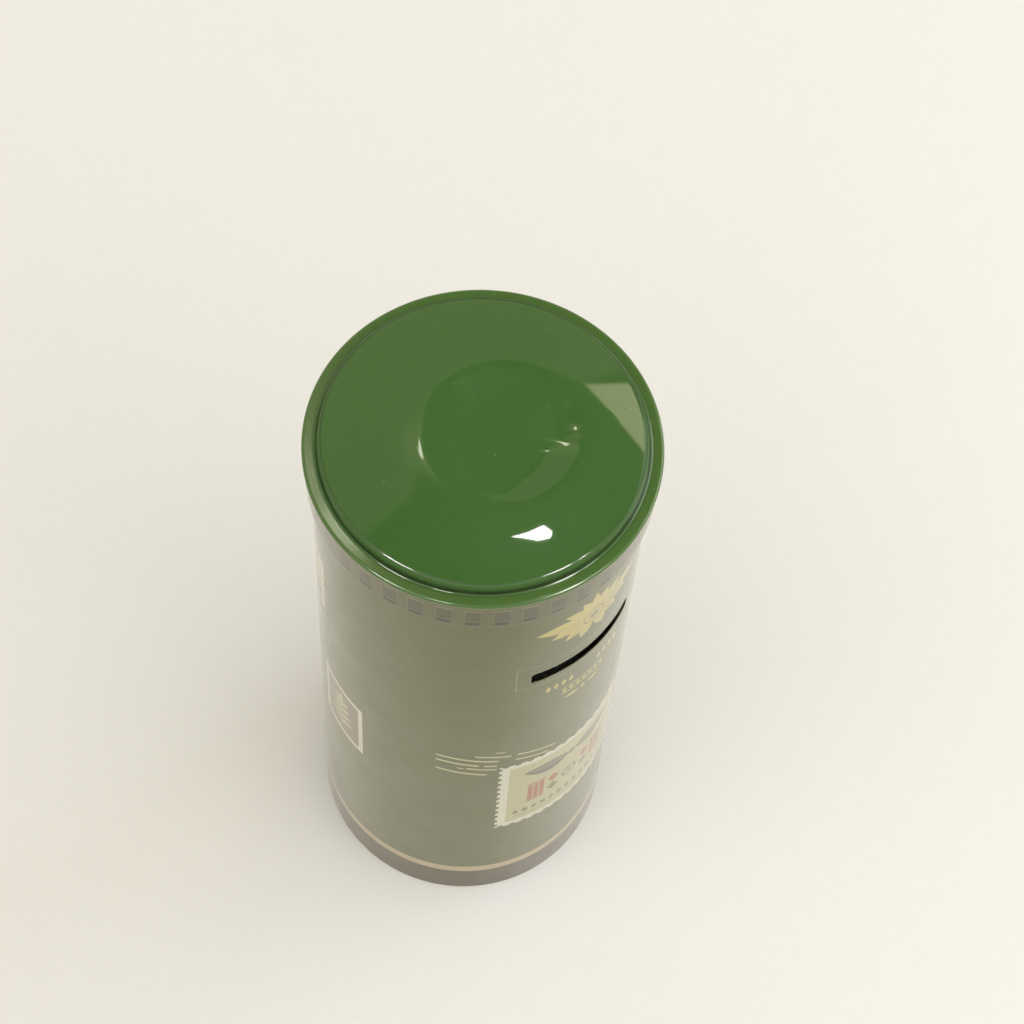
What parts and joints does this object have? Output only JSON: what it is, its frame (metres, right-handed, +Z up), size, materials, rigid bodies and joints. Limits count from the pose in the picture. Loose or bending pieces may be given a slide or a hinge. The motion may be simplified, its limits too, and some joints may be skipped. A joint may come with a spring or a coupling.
{
  "type": "money tin",
  "caption": "Tall round printed tin with a coin slot near the top of its wall and a slip-over lid that lifts off; it stands on its rolled foot.",
  "frame": {"origin": "centre of the ring the tin rests on, on the tin's axis", "axes": "+Z up along the tin's axis; the coin slot faces -Y and the side seams are at +Y; X runs across the slot"},
  "size_m": [0.078, 0.078, 0.1848],
  "materials": {
    "printed_wall": "gloss varnish over dark olive print, cream line and dark brown foot band",
    "bare_tinplate": "plain tinplate",
    "green_lid": "high gloss green enamel",
    "printed_skirt": "gloss varnish over dark olive print with a block border"
  },
  "bodies": {
    "can": {"body_wall": "printed_wall", "base_end": "bare_tinplate"},
    "lid": {"lid_top": "green_lid", "lid_skirt": "printed_skirt"}
  },
  "joints": [
    {"name": "lid_lift", "type": "slide", "parent": "can", "child": "lid", "axis": [0, 0, 1], "range_m": [0, 0.03]}
  ]
}
